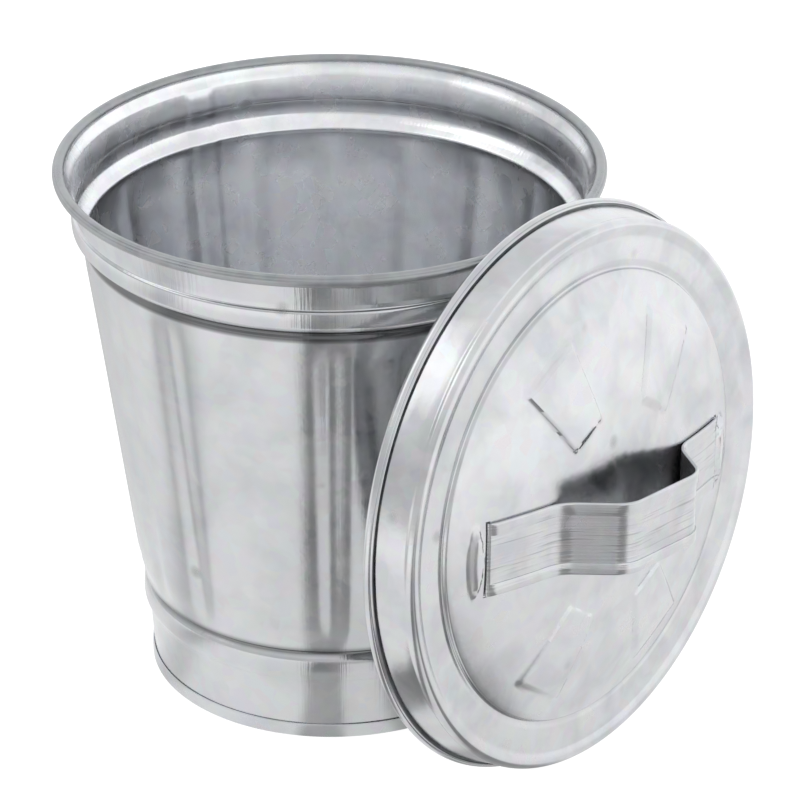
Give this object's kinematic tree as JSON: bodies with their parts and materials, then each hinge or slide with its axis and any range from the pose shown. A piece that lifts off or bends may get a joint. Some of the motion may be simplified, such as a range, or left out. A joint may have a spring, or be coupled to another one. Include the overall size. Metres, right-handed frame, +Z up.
{
  "type": "waste can",
  "caption": "Tapered, fluted galvanised waste can with a rolled rim and folded foot; its domed lift-off lid with a strap handle leans against the rim.",
  "frame": {"origin": "on the floor, at the centre of the can's foot", "axes": "+Z up along the can's axis, +X towards the side where the lid leans"},
  "size_m": [0.393, 0.3244, 0.3238],
  "materials": {
    "can_sheet": "hot-dip galvanised sheet, satin",
    "pan_sheet": "galvanised sheet, satin",
    "hoop_sheet": "galvanised sheet, duller",
    "lid_sheet": "galvanised sheet, satin with cloudy spangle",
    "strap_sheet": "galvanised strip, finely ribbed",
    "wire": "drawn steel wire"
  },
  "bodies": {
    "can": {"body_shell": "can_sheet", "rim_wire": "wire", "bottom_pan": "pan_sheet", "base_ring": "hoop_sheet"},
    "lid": {"lid_pan": "lid_sheet", "lid_wire": "wire", "handle_strap": "strap_sheet"}
  },
  "joints": [
    {"name": "lid_slide", "type": "slide", "parent": "can", "child": "lid", "axis": [0.9981, 0, 0.061], "range_m": [0, 0.25]}
  ]
}
